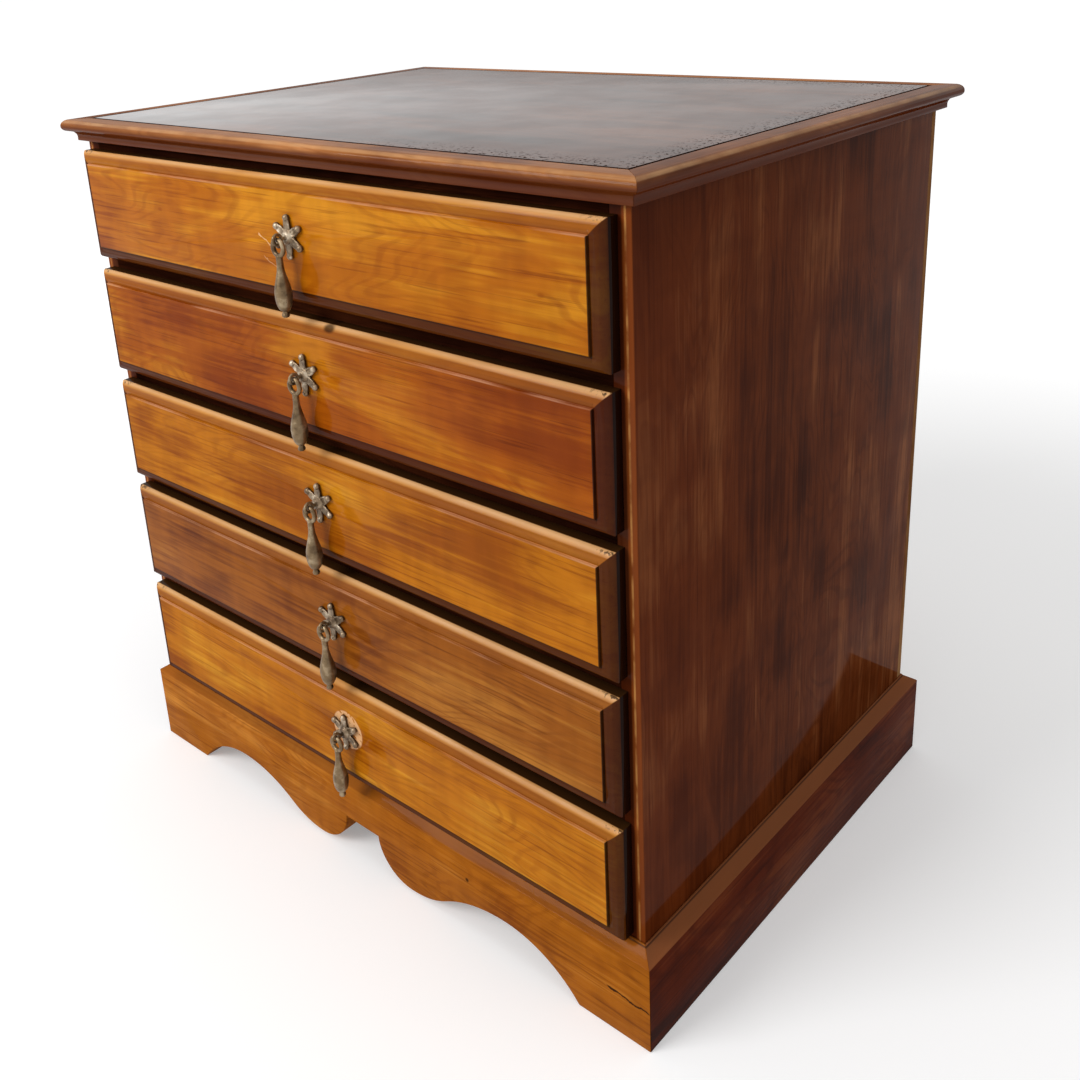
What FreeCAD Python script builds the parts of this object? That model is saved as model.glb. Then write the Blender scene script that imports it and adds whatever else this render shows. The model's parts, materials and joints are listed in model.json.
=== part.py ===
import FreeCAD, Part
import math
import os

# A table-top collector's cabinet: a case with five shallow drawers, a moulded top and a shaped plinth.
# Millimetres. X runs to the right along the front, the drawers open towards minus Y and Z is up.
# Pieces are drawn with Y counted from the front edge of the case. When they are written they are
# moved so that the origin is on the floor, under the middle of the whole cabinet.

# Sizes of the case
case_width = 445.0
case_depth = 315.0
case_board = 12.0
back_board = 5.0
housing_depth = 3.5
housing_stop = 10.0

# Sizes of the drawer fronts and the gaps that show round them
drawer_count = 5
front_height = 71.8
front_gap = 8.8
stile_width = 7.3
gap_over_plinth = 3.4
gap_under_top = 5.2
front_edge = 7.5
seat_gap = 0.3

# The moulding worked round each drawer front
moulding_width = 8.0
moulding_depth = 4.8
fillet_step = 1.3

# Sizes of the drawer boxes
drawer_side = 8.0
drawer_back = 8.0
drawer_bottom = 4.0
drawer_length = 303.0
bottom_lift = 6.0
groove_depth = 3.5
dado_depth = 3.0
back_inset = 6.0
back_drop = 2.0
side_clearance = 0.5
floor_clearance = 0.2
roof_clearance = 1.0
tail_length = 5.5
tail_neck = 5.0
tail_spread = 7.0

# Sizes of the top
top_thickness = 14.0
top_overhang = 12.0
band_width = 15.5
groove_size = 0.8
nose_run = 4.5
nose_drop = 3.9
nose_under = 3.5
nose_return = 2.4
quirk_width = 0.8
cove_width = 4.0
cove_height = 4.4

# Sizes of the plinth
plinth_height = 63.2
plinth_board = 18.0
plinth_projection = 9.0
plinth_ledge = 50.0
bevel_height = 5.4
bead_width = 1.2
bead_height = 0.8
block_leg = 30.0
block_lift = 8.0

# The shaped lower edge of the plinth's front board, from the middle outwards
notch_half = 15.7
notch_height = 29.5
lobe_centre = 45.0
lobe_lift = 2.6
arch_centre = 127.0
arch_height = 26.3
arch_outer_radius = 70.0
turn_share = 0.375

# Sizes of the drop handles. The levels of the drop are counted down from the axis it swings on.
pull_lift = 3.5
hinge_standoff = 8.8
arm_count = 6
plate_thickness = 2.0
arm_shoulder = 6.8
arm_shoulder_half = 2.4
arm_tip_half = 1.3
knob_reach = 10.8
knob_radius = 2.1
knob_crown = 1.0
knob_height = 3.2
web_radius = 5.6
boss_radius = 5.0
boss_height = 4.6
boss_crown = 2.2
rib_height = 1.0
rib_half = 1.0
rib_root_radius = 4.0
pin_radius = 1.2
pin_hole_clearance = 0.1
pin_leg_length = 11.0
pin_leg_thickness = 1.2
eye_wire = 1.0
eye_radius = 2.8
ring_wire = 1.4
ring_radius = 4.4
drop_length = 44.2
neck_radius = 1.9
neck_level = 13.5
belly_radius = 5.0
belly_level = 31.0
waist_radius = 1.7
waist_level = 40.2
button_radius = 2.3
button_height = 3.1

# The handles are too small to need true curves: their round forms have this many flat sides.
pear_sides = 16
swell_steps = 4
heel_steps = 3
boss_sides = 12
boss_steps = 3
knob_sides = 8
ring_sides = 16
wire_sides = 8

# Places worked out from those sizes
case_half = case_width / 2
inner_half = case_half - case_board
inner_depth = case_depth - back_board
lip_cover = (case_board - front_gap) / 2
front_pitch = front_height + front_gap
bay_height = front_height - 2 * lip_cover
lowest_front = plinth_height + gap_over_plinth
highest_front = lowest_front + drawer_count * front_pitch - front_gap
case_top = highest_front + gap_under_top
total_height = case_top + top_thickness
front_half = case_half - stile_width
edge_plane = -seat_gap - front_edge
face_plane = edge_plane - moulding_depth
hinge_plane = face_plane - hinge_standoff
top_half = case_half + top_overhang
top_depth = case_depth + 2 * top_overhang
plinth_half = case_half + plinth_projection
plinth_depth = case_depth + 2 * plinth_projection
front_reach = hinge_plane - belly_radius
back_reach = case_depth + top_overhang
middle_y = (front_reach + back_reach) / 2


def at(x, y, z):
    return FreeCAD.Vector(x, y, z)


# The pieces are drawn in cross-section on one of these planes.
def plane_yz(across, up):
    return at(0, across, up)


def plane_xz(across, up):
    return at(across, 0, up)


def plane_xy(across, along):
    return at(across, along, 0)


def block(x_span, y_span, z_span):
    size = [high - low for low, high in (x_span, y_span, z_span)]
    return Part.makeBox(*size, at(x_span[0], y_span[0], z_span[0]))


# A flat face inside a closed outline. Each step is an end point, or a middle and an end point for an arc.
def outline_face(plane, start, steps):
    edges = []
    here = plane(*start)
    for step in steps + [start]:
        if isinstance(step[0], tuple):
            through, end = plane(*step[0]), plane(*step[1])
            edges.append(Part.Arc(here, through, end).toShape())
        else:
            end = plane(*step)
            edges.append(Part.LineSegment(here, end).toShape())
        here = end
    return Part.Face(Part.Wire(edges))


# The point an arc between two points runs through when it bulges towards a corner, as a quarter
# of an ellipse does.
def quarter_middle(first, last, corner):
    share = math.sqrt(0.5)
    centre = (first[0] + last[0] - corner[0], first[1] + last[1] - corner[1])
    return tuple(c + (a - c) * share + (b - c) * share for a, b, c in zip(first, last, centre))


# A strip with the same section all along, its outer face on Y = 0, mitred at both ends.
def mitred_strip(section, length, depth):
    half = length / 2
    strip = section.extrude(at(length, 0, 0))
    strip.translate(at(-half, 0, 0))
    plan = [(half, 0), (half - depth, depth), (depth - half, depth)]
    keep = outline_face(plane_xy, (-half, 0), plan).extrude(at(0, 0, total_height))
    return strip.common(keep)


# The four strips of a mitred frame, its outer faces overhang millimetres outside the case.
def mitred_frame(section, depth, overhang, base):
    width = case_width + 2 * overhang
    length = case_depth + 2 * overhang
    middle = case_depth / 2
    runs = {
        "front": (width, 0, (0, -overhang)),
        "right": (length, 90, (width / 2, middle)),
        "back": (width, 180, (0, case_depth + overhang)),
        "left": (length, 270, (-width / 2, middle)),
    }
    frame = {}
    for side, (run, turn, (x, y)) in runs.items():
        strip = mitred_strip(section, run, depth)
        strip.rotate(at(0, 0, 0), at(0, 0, 1), turn)
        strip.translate(at(x, y, base))
        frame[side] = strip
    return frame


# The level of the lower edge of a drawer front, counted from the top drawer down.
def front_base(number):
    return lowest_front + (drawer_count - number) * front_pitch


# The levels between which a drawer's box has its bay in the case.
def bay_levels(number):
    floor = front_base(number) + lip_cover
    return floor, floor + bay_height


# Level boards of the case: the bottom, the dividers between the bays and the board under the top.
def level_boards():
    lowest_floor = bay_levels(drawer_count)[0]
    boards = {"case_bottom": (lowest_floor - case_board, lowest_floor)}
    for number in range(1, drawer_count):
        floor = bay_levels(number)[0]
        boards[f"divider_{number}"] = (floor - case_board, floor)
    boards["case_top"] = (bay_levels(1)[1], case_top)
    return boards


# A level board enters both sides in housings that stop short of the front edge.
def level_board(z_span):
    board = block((-inner_half, inner_half), (0, inner_depth), z_span)
    tongues = block(
        (-inner_half - housing_depth, inner_half + housing_depth), (housing_stop, inner_depth), z_span
    )
    return board.fuse(tongues).removeSplitter()


def case_side(hand):
    side = block((inner_half, case_half), (0, inner_depth), (plinth_ledge, case_top))
    for z_span in level_boards().values():
        side = side.cut(level_board(z_span))
    if hand == "left":
        side = side.mirror(at(0, 0, 0), at(1, 0, 0))
    return side


def case_back():
    return block((-case_half, case_half), (inner_depth, case_depth), (plinth_ledge, case_top))


# The flat panel of the top, with its upper edges taken off to make half of the groove round it.
def top_panel():
    inset = band_width - top_overhang
    x_span = (inset - case_half, case_half - inset)
    y_span = (inset, case_depth - inset)
    panel = block(x_span, y_span, (case_top, total_height))
    rim = [edge for edge in panel.Edges if edge.BoundBox.ZMin > total_height - groove_size]
    return panel.makeChamfer(groove_size, rim)


# The moulded band round the top: a rounded nose, a quirk and a cove, seen from its right-hand end.
def top_mouldings():
    nose_level = top_thickness - nose_drop
    quirk_level = nose_level - nose_under
    cove_start = nose_return + quirk_width
    cove_foot = quirk_level - cove_height
    shoulder = (nose_run, top_thickness)
    nose = (0, nose_level)
    nose_foot = (nose_return, quirk_level)
    cove_head = (cove_start, quirk_level)
    cove_end = (cove_start + cove_width, cove_foot)
    steps = [
        (band_width, top_thickness - groove_size),
        (band_width - groove_size, top_thickness),
        shoulder,
        (quarter_middle(shoulder, nose, (0, top_thickness)), nose),
        (quarter_middle(nose, nose_foot, (0, quirk_level)), nose_foot),
        cove_head,
        (quarter_middle(cove_head, cove_end, (cove_end[0], quirk_level)), cove_end),
        (cove_end[0], 0),
    ]
    section = outline_face(plane_yz, (band_width, 0), steps)
    return mitred_frame(section, band_width, top_overhang, case_top)


# The plinth's boards have a bevelled lip outside the case and a ledge inside it that carries the case.
def plinth_section():
    bead_start = plinth_projection - bead_width
    bevel_top = plinth_height - bead_height
    steps = [
        (0, bevel_top - bevel_height),
        (bead_start, bevel_top),
        (bead_start, plinth_height),
        (plinth_projection, plinth_height),
        (plinth_projection, plinth_ledge),
        (plinth_board, plinth_ledge),
        (plinth_board, 0),
    ]
    return outline_face(plane_yz, (0, 0), steps)


# The right half of what is sawn out under the front board: notch, lobe, arch and foot.
def apron_waste():
    lobe = (lobe_centre, lobe_lift)
    arch = (arch_centre, arch_height)
    notch = (notch_half, notch_height)
    rise = arch_height - lobe_lift
    turn = (
        lobe_centre + (arch_centre - lobe_centre) * turn_share,
        lobe_lift + rise * turn_share,
    )
    lobe_side = quarter_middle(notch, lobe, (notch_half, lobe_lift))
    foot_run = math.sqrt(arch_outer_radius**2 - (arch_outer_radius - arch_height) ** 2)
    foot = (arch_centre + foot_run, 0)
    half_turn = math.asin(foot_run / arch_outer_radius) / 2
    foot_side = (
        arch_centre + arch_outer_radius * math.sin(half_turn),
        arch_height - arch_outer_radius * (1 - math.cos(half_turn)),
    )
    steps = [
        (0, notch_height),
        notch,
        (lobe_side, lobe),
        (bend_middle(lobe, turn), turn),
        (bend_middle(arch, turn), arch),
        (foot_side, foot),
        (foot[0], -plinth_board),
    ]
    return outline_face(plane_xz, (0, -plinth_board), steps)


# A point on the arc that leaves a level start and ends at a given point.
def bend_middle(level_point, end):
    run = end[0] - level_point[0]
    rise = end[1] - level_point[1]
    radius = (run**2 + rise**2) / (2 * rise)
    half_angle = math.asin(run / radius) / 2
    return (
        level_point[0] + radius * math.sin(half_angle),
        level_point[1] + radius * (1 - math.cos(half_angle)),
    )


def plinth_boards():
    boards = mitred_frame(plinth_section(), plinth_board, plinth_projection, 0)
    right_waste = apron_waste().extrude(at(0, plinth_board * 2, 0))
    right_waste.translate(at(0, -plinth_board, 0))
    left_waste = right_waste.mirror(at(0, 0, 0), at(1, 0, 0))
    boards["front"] = boards["front"].cut(right_waste.fuse(left_waste))
    return boards


# Three-cornered blocks glued into the corners of the plinth, under the ledge.
def glue_blocks():
    corner_x = plinth_half - plinth_board
    corner_y = plinth_board - plinth_projection
    block_plan = [(corner_x - block_leg, corner_y), (corner_x, corner_y + block_leg)]
    front_right = outline_face(plane_xy, (corner_x, corner_y), block_plan)
    front_right = front_right.extrude(at(0, 0, plinth_ledge - block_lift))
    front_right.translate(at(0, 0, block_lift))
    back_right = front_right.mirror(at(0, case_depth / 2, 0), at(0, 1, 0))
    right = [front_right, back_right]
    left = [piece.mirror(at(0, 0, 0), at(1, 0, 0)) for piece in right]
    return Part.makeCompound(right + left)


# Sizes of a drawer's box that its pieces share
box_half = inner_half - side_clearance
box_inner = box_half - drawer_side
side_height = bay_height - floor_clearance - roof_clearance
back_face = drawer_length - back_inset


# The levels of a drawer's box: lower edge, underside and upper face of the bottom, upper edge.
def box_levels(number):
    base = bay_levels(number)[0] + floor_clearance
    return base, base + bottom_lift, base + bottom_lift + drawer_bottom, base + side_height


# The wood taken off along one edge of a drawer front to leave the step and the quarter round.
def moulding_waste(plane, length_vector):
    step = (moulding_width, fillet_step)
    edge = (0, moulding_depth)
    clear = -moulding_width
    steps = [
        (moulding_width, clear),
        step,
        (quarter_middle(step, edge, (0, fillet_step)), edge),
        (clear, moulding_depth),
    ]
    return outline_face(plane, (clear, clear), steps).extrude(length_vector)


# The dovetail that joins a drawer's side to its front, drawn for the right-hand side.
def dovetail(z_span):
    middle = (box_half + box_inner) / 2
    neck = tail_neck / 2
    spread = tail_spread / 2
    root = -seat_gap
    tip = root - tail_length
    plan = [(middle + spread, tip), (middle - spread, tip), (middle - neck, root)]
    tail = outline_face(plane_xy, (middle + neck, root), plan).extrude(at(0, 0, z_span[1] - z_span[0]))
    tail.translate(at(0, 0, z_span[0]))
    return tail


def drawer_front(number):
    low = front_base(number)
    high = low + front_height
    front = block((-front_half, front_half), (face_plane, -seat_gap), (low, high))
    along = at(2 * front_half, 0, 0)
    upward = at(0, 0, front_height)
    waste = [
        moulding_waste(lambda inset, depth: at(-front_half, face_plane + depth, high - inset), along),
        moulding_waste(lambda inset, depth: at(-front_half, face_plane + depth, low + inset), along),
        moulding_waste(lambda inset, depth: at(inset - front_half, face_plane + depth, low), upward),
        moulding_waste(lambda inset, depth: at(front_half - inset, face_plane + depth, low), upward),
    ]
    socket = dovetail((low, box_levels(number)[3]))
    waste += [socket, socket.mirror(at(0, 0, 0), at(1, 0, 0))]
    waste += [drawer_bottom_board(number), pin_bore(number, face_plane, 0)]
    for piece in waste:
        front = front.cut(piece)
    return front


def drawer_side_board(number, hand):
    base, groove_low, groove_high, top = box_levels(number)
    side = block((box_inner, box_half), (-seat_gap, drawer_length), (base, top))
    side = side.fuse(dovetail((base, top))).removeSplitter()
    groove_end = box_inner + groove_depth
    side = side.cut(
        block((box_inner, groove_end), (-seat_gap - groove_depth, drawer_length), (groove_low, groove_high))
    )
    side = side.cut(drawer_back_board(number))
    if hand == "left":
        side = side.mirror(at(0, 0, 0), at(1, 0, 0))
    return side


# The back of a drawer stands on the bottom and is housed in both sides.
def drawer_back_board(number):
    levels = box_levels(number)
    reach = box_inner + dado_depth
    return block((-reach, reach), (back_face - drawer_back, back_face), (levels[2], levels[3] - back_drop))


# The bottom slides in from behind, in grooves in the sides and the front.
def drawer_bottom_board(number):
    levels = box_levels(number)
    reach = box_inner + groove_depth
    return block((-reach, reach), (-seat_gap - groove_depth, back_face), (levels[1], levels[2]))


def pull_level(number):
    return front_base(number) + front_height / 2 + pull_lift


def pin_bore(number, start, end):
    radius = pin_radius + pin_hole_clearance
    return Part.makeCylinder(radius, end - start, at(0, start, pull_level(number)), at(0, 1, 0))


def flat_face(corners):
    return Part.Face(Part.makePolygon(corners + corners[:1]))


# A solid with flat sides through many-cornered sections, capped at its ends or closed in a ring.
def faceted_solid(sections, closed):
    faces = []
    following = sections[1:] + sections[:1] if closed else sections[1:]
    for here, there in zip(sections, following):
        for side in range(len(here)):
            faces.append(flat_face([here[side - 1], here[side], there[side], there[side - 1]]))
    if not closed:
        faces += [flat_face(sections[0]), flat_face(sections[-1])]
    return Part.makeSolid(Part.makeShell(faces))


# A turned form with an upright axis: each station is a radius and a level.
def turned_form(stations, sides):
    turns = [2 * math.pi * side / sides for side in range(sides)]
    sections = []
    for radius, level in stations:
        sections.append([at(radius * math.cos(turn), radius * math.sin(turn), level) for turn in turns])
    return faceted_solid(sections, False)


# A ring of wire round the Y axis.
def wire_ring(radius, wire):
    turns = [2 * math.pi * side / ring_sides for side in range(ring_sides)]
    rolls = [2 * math.pi * side / wire_sides for side in range(wire_sides)]
    sections = []
    for turn in turns:
        reaches = [(radius + wire * math.cos(roll), wire * math.sin(roll)) for roll in rolls]
        sections.append([at(out * math.cos(turn), along, out * math.sin(turn)) for out, along in reaches])
    return faceted_solid(sections, True)


# One arm of the rosette as far as the next: from its shoulder it narrows to the knob at its end.
def arm_outline():
    half_step = math.pi / arm_count
    web = (web_radius * math.cos(half_step), web_radius * math.sin(half_step))
    side = [(arm_shoulder, arm_shoulder_half), (knob_reach, arm_tip_half)]
    near_side = [(along, -aside) for along, aside in side]
    return near_side + side[::-1] + [web]


# The rosette's plate, with hollows between its arms.
def rosette_plate():
    corners = []
    for arm in range(arm_count):
        turn = 2 * math.pi * arm / arm_count
        for along, aside in arm_outline():
            x = along * math.sin(turn) + aside * math.cos(turn)
            z = along * math.cos(turn) - aside * math.sin(turn)
            corners.append((x, z))
    plate = outline_face(plane_xz, corners[0], corners[1:])
    return plate.extrude(at(0, -plate_thickness, 0))


# The raised boss in the middle of the rosette, in line with the pin: its rim is rounded over.
def rosette_boss():
    stations = [(boss_radius, 0)]
    for step in range(boss_steps + 1):
        turn = math.pi / 2 * step / boss_steps
        radius = boss_crown + (boss_radius - boss_crown) * math.cos(turn)
        stations.append((radius, plate_thickness + (boss_height - plate_thickness) * math.sin(turn)))
    boss = turned_form(stations, boss_sides)
    boss.rotate(at(0, 0, 0), at(1, 0, 0), 90)
    return boss


# The round knob at the end of one arm, drawn on the upright arm and turned to its place.
def rosette_knob(arm):
    stations = [(knob_radius, 0), (knob_radius, plate_thickness), (knob_crown, knob_height)]
    knob = turned_form(stations, knob_sides)
    knob.rotate(at(0, 0, 0), at(1, 0, 0), 90)
    knob.translate(at(0, 0, knob_reach))
    knob.rotate(at(0, 0, 0), at(0, 1, 0), arm * 360 / arm_count)
    return knob


# A ridge along one arm, drawn on the upright arm and turned to its place.
def rosette_rib(arm):
    foot = -plate_thickness
    ridge = outline_face(plane_xy, (-rib_half, foot), [(rib_half, foot), (0, foot - rib_height)])
    rib = ridge.extrude(at(0, 0, knob_reach - rib_root_radius))
    rib.translate(at(0, 0, rib_root_radius))
    rib.rotate(at(0, 0, 0), at(0, 1, 0), arm * 360 / arm_count)
    return rib


def rosette(number):
    shape = rosette_plate().fuse(rosette_boss())
    for arm in range(arm_count):
        shape = shape.fuse([rosette_rib(arm), rosette_knob(arm)])
    shape.translate(at(0, face_plane, pull_level(number)))
    return shape.cut(pin_bore(number, face_plane - hinge_standoff, 0))


# The split pin that holds a handle: an eye in front, a shank through the drawer front and two
# legs that are hammered flat behind it.
def pull_pin(number):
    level = pull_level(number)
    leg_end = pin_leg_thickness - seat_gap
    eye = wire_ring(eye_radius, eye_wire)
    eye.rotate(at(0, 0, 0), at(0, 0, 1), 90)
    eye.translate(at(0, hinge_plane, level))
    shank_start = hinge_plane + eye_radius - eye_wire / 2
    shank = Part.makeCylinder(pin_radius, leg_end - shank_start, at(0, shank_start, level), at(0, 1, 0))
    legs = block(
        (-pin_radius, pin_radius), (-seat_gap, leg_end), (level - pin_leg_length, level + pin_leg_length)
    )
    return eye.fuse([shank, legs]).removeSplitter()


# The pear swells from its neck in an S-curve and closes under its belly in a quarter of an ellipse.
def pear_stations():
    stations = []
    for step in range(swell_steps):
        share = step / swell_steps
        radius = neck_radius + (belly_radius - neck_radius) * (1 - math.cos(math.pi * share)) / 2
        stations.append((radius, neck_level + (belly_level - neck_level) * share))
    for step in range(heel_steps + 1):
        turn = math.pi / 2 * step / heel_steps
        radius = waist_radius + (belly_radius - waist_radius) * math.cos(turn)
        stations.append((radius, belly_level + (waist_level - belly_level) * math.sin(turn)))
    return stations


# The small button under the pear, rounded below.
def button_stations():
    button_top = drop_length - button_height
    shoulder = button_height / 4
    return [
        (waist_radius, button_top),
        (button_radius, button_top + shoulder),
        (button_radius, drop_length - shoulder),
        (button_radius / 2, drop_length),
    ]


# The drop hangs by its ring from the eye of the pin: ring, slender neck, pear and button.
def drop(number):
    ring = wire_ring(ring_radius, ring_wire)
    ring.translate(at(0, 0, -ring_radius))
    stations = [(neck_radius, 2 * ring_radius)] + pear_stations() + button_stations()
    pear = turned_form([(radius, -level) for radius, level in stations], pear_sides)
    shape = ring.fuse(pear)
    shape.translate(at(0, hinge_plane, pull_level(number)))
    return shape


def case_pieces():
    pieces = {
        "case_side_left": case_side("left"),
        "case_side_right": case_side("right"),
        "case_back": case_back(),
        "top_panel": top_panel(),
        "plinth_glue_blocks": glue_blocks(),
    }
    for name, z_span in level_boards().items():
        pieces[name] = level_board(z_span)
    for side, strip in top_mouldings().items():
        pieces[f"top_moulding_{side}"] = strip
    for side, board in plinth_boards().items():
        pieces[f"plinth_{side}"] = board
    return pieces


def drawer_pieces(number):
    return {
        f"drawer_{number}_front": drawer_front(number),
        f"drawer_{number}_side_left": drawer_side_board(number, "left"),
        f"drawer_{number}_side_right": drawer_side_board(number, "right"),
        f"drawer_{number}_back": drawer_back_board(number),
        f"drawer_{number}_bottom": drawer_bottom_board(number),
        f"drawer_{number}_rosette": rosette(number),
        f"drawer_{number}_pin": pull_pin(number),
        f"drawer_{number}_drop": drop(number),
    }


os.makedirs("parts", exist_ok=True)
pieces = case_pieces()
for number in range(1, drawer_count + 1):
    pieces.update(drawer_pieces(number))
for name, shape in pieces.items():
    shape.translate(at(0, -middle_y, 0))
    shape.exportStep(f"parts/{name}.step")
print(len(pieces), "pieces, height", round(total_height, 3), "middle", round(middle_y, 3))
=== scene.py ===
import json
import math

import bpy
from mathutils import Euler, Matrix, Vector


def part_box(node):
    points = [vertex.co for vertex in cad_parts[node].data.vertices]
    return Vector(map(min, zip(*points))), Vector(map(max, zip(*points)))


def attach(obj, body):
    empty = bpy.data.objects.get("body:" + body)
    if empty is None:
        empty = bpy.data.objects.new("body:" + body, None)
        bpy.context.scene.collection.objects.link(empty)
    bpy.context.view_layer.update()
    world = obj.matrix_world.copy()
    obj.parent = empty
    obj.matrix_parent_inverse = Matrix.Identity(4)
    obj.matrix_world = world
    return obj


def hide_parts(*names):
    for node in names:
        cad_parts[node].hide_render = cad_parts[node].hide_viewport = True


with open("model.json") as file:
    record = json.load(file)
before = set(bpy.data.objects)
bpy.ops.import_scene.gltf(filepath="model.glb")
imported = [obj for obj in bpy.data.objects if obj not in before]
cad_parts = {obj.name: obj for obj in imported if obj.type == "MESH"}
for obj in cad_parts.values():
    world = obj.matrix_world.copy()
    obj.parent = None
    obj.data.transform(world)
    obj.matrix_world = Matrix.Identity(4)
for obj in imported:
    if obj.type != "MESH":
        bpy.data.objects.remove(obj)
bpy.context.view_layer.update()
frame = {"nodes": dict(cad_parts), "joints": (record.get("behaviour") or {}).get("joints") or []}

# The collector's cabinet, dressed: polished woods, hollows and gaps darkened with painted shade, painted
# highlights on upper edges, worn edges and aged cast handles. Metres, in the frame of the solids.
# Colours are written as they look, from 0 to 255.

millimetre = 0.001
drawer_numbers = range(1, 6)
nodes = frame["nodes"]

# Sizes of the worked edges
moulding_width = 8.0 * millimetre
moulding_depth = 4.8 * millimetre
groove_half = 0.9 * millimetre
nose_height = 6.6 * millimetre
bevel_height = 6.2 * millimetre
stile_skin = 0.7 * millimetre

# Sizes of stain, wear and painted light and shade. Most lines and patches end softly, over the width
# called soft_edge. A start is where a mark begins to show, a full is where it has its whole strength, an
# end is where it stops.
soft_edge = 0.4 * millimetre
moulding_fade = 0.5 * millimetre
pale_line_width = 0.6 * millimetre
hidden_start = 0.3 * millimetre
hidden_full = 1.0 * millimetre
worn_depth_full = 0.2 * millimetre
worn_depth_end = 0.8 * millimetre
rubbed_full = 0.6 * millimetre
rubbed_end = 2.2 * millimetre
chips_full = 3.0 * millimetre
chips_end = 16.0 * millimetre
knot_size = 0.4 * millimetre
knot_fade = 1.4 * millimetre
knot_bend = 18.0 * millimetre
scratch_width = 0.5 * millimetre
crack_width = 0.9 * millimetre
wander_reach = 6.0 * millimetre
dent_size = 1.2 * millimetre
dent_fade = 1.8 * millimetre
foot_dent_size = 0.8 * millimetre
foot_dent_fade = 1.0 * millimetre
fitting_size = 12.8 * millimetre
fitting_fade = 1.2 * millimetre
red_reach = 160.0 * millimetre
stile_amber_end = 4.5 * millimetre
stile_dark_start = 6.0 * millimetre
bead_start = 3.0 * millimetre
bead_end = 3.8 * millimetre
specks_start = 26.0 * millimetre
specks_full = 4.0 * millimetre
cove_start = 2.0 * millimetre
cove_full = 0.8 * nose_height
brow_start = 0.6 * millimetre
brow_end = 1.4 * millimetre
brow_fade = 0.8 * millimetre
seam_start = 0.6 * millimetre
seam_end = 1.0 * millimetre
patina_start = 2.2 * millimetre
patina_full = 0.8 * millimetre

# The share of the way from the middle to the right edge over which the top's specks come up
specks_share = 0.6

# How high the finest relief stands
pore_relief = 0.05 * millimetre
polish_relief = 1.0 * millimetre
cast_relief = 0.06 * millimetre
rust_relief = 0.2 * millimetre

# The wood's figure: about how many of each feature lie on a metre
cloud_scale = 10.0
flame_scale = 12.0
drift_scale = 34.0
band_scale = 60.0
curl_scale = 85.0
fibre_scale = 420.0

# Slow and fine unevenness of the finishes, counted in the same way
ripple_scale = 14.0
smear_scale = 30.0
tarnish_scale = 170.0
wander_scale = 180.0
rust_scale = 700.0
pit_scale = 800.0

# What comes in patches: about how many lie on a metre, how finely they are broken up, and the heights
# of the noise at which a patch begins and is full. Smears and pits have only those heights here.
flame_patches = (26.0, 3.0, 0.3, 0.7)
pore_patches = (800.0, 2.0, 0.58, 0.70)
pale_patches = (110.0, 4.0, 0.4, 0.62)
rubbed_patches = (80.0, 4.0, 0.2, 0.6)
chip_patches = (420.0, 3.0, 0.52, 0.6)
halo_patches = (300.0, 3.0, 0.36, 0.46)
blotch_patches = (34.0, 4.0, 0.5, 0.66)
bead_patches = (60.0, 4.0, 0.35, 0.6)
brow_patches = (60.0, 4.0, 0.2, 0.8)
speck_patches = (620.0, 2.0, 0.585, 0.645)
smear_range = (0.3, 0.7)
pit_range = (0.60, 0.72)

# How close the flame lines lie, and how strongly a knot bends them
flame_turns = 210.0
knot_pull = 0.05

# How the figure is drawn out along the grain, fibres more than the bands and flames less, and how far
# the ripple is drawn out across it. Knots, dents and worn edges are drawn out along the front.
fibre_draw = 1.7
flame_draw = 0.65
curl_share = 0.3
front_draw = 0.15
bend_draw = 2.4
knot_draw = 1.8
dent_draw = 2.0

# How much each feature counts in the figure, what share stays of a flame line or of a rubbed brow
# between their patches, and the places of the dark, middle and pale shades on the figure
band_weight = 0.35
drift_weight = 0.7
cloud_weight = 0.8
fibre_weight = 0.4
flame_weight = 0.36
pore_weight = 0.35
curl_weight = 0.5
knot_weight = 0.5
flame_share = 0.3
brow_share = 0.4
shade_places = (0.26, 0.5, 0.75)

# How rough each finish is, at its smoothest and its roughest, and how much polish it carries. Smears
# leave a share of the polish.
front_sheen = (0.30, 0.50)
front_shine = 0.14
side_sheen = (0.26, 0.44)
side_shine = 0.09
nose_shine = 0.2
plinth_sheen = (0.28, 0.48)
plinth_shine = 0.08
top_sheen = (0.24, 0.40)
top_shine_front = 1.0
top_shine_back = 0.45
inside_sheen = (0.45, 0.65)
bare_sheen = (0.6, 0.8)
no_shine = 0.0
smeared_share = 0.88
coat_roughness = 0.07
coat_index = 1.5

# The metals: how metallic the tarnished surface still is, how rough it is where it is polished and
# how much tarnish dulls it, and the places of the dark, middle and pale shades on the tarnish
brass_share = 0.65
iron_share = 0.5
polished_roughness = 0.20
tarnish_dulling = 0.30
rust_roughness = 0.62
tarnish_places = (0.3, 0.5, 0.7)

# How far the sharp edges of the boards are eased, in millimetres. Then, in degrees, the angle below
# which faces count as one flat face, that above which an edge counts as sharp, and that up to which
# faces are shaded as one.
outside_easing = 0.5
inside_easing = 0.4
fine_easing = 0.3
block_easing = 0.6
flat_angle = 0.5
sharp_angle = 40
shaded_angle = 34
merge_distance = 0.002 * millimetre

# Turns of a ring or a nail: facing the front, or a side
facing_front = (math.radians(90), 0, 0)
facing_side = (0, math.radians(90), 0)

# Sizes of the rosettes, in millimetres. What lies on the plate is counted forward from its back.
arm_count = 6
knob_size = 2.1
knob_depth = 1.9
knob_forward = 1.4
petal_middle = 6.6
petal_half = 1.95
petal_stretch = 1.9
petal_rim = 0.62
petal_forward = 1.5
dish_wider = 0.4
dish_longer = 0.5
dish_depth = 1.1
web_size = 5.6
web_depth = 1.7
web_forward = 0.9
boss_size = 4.1
boss_rise = 4.5
boss_forward = 1.6
collar_size = 2.5
collar_wire = 0.6
collar_forward = 3.6

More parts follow.
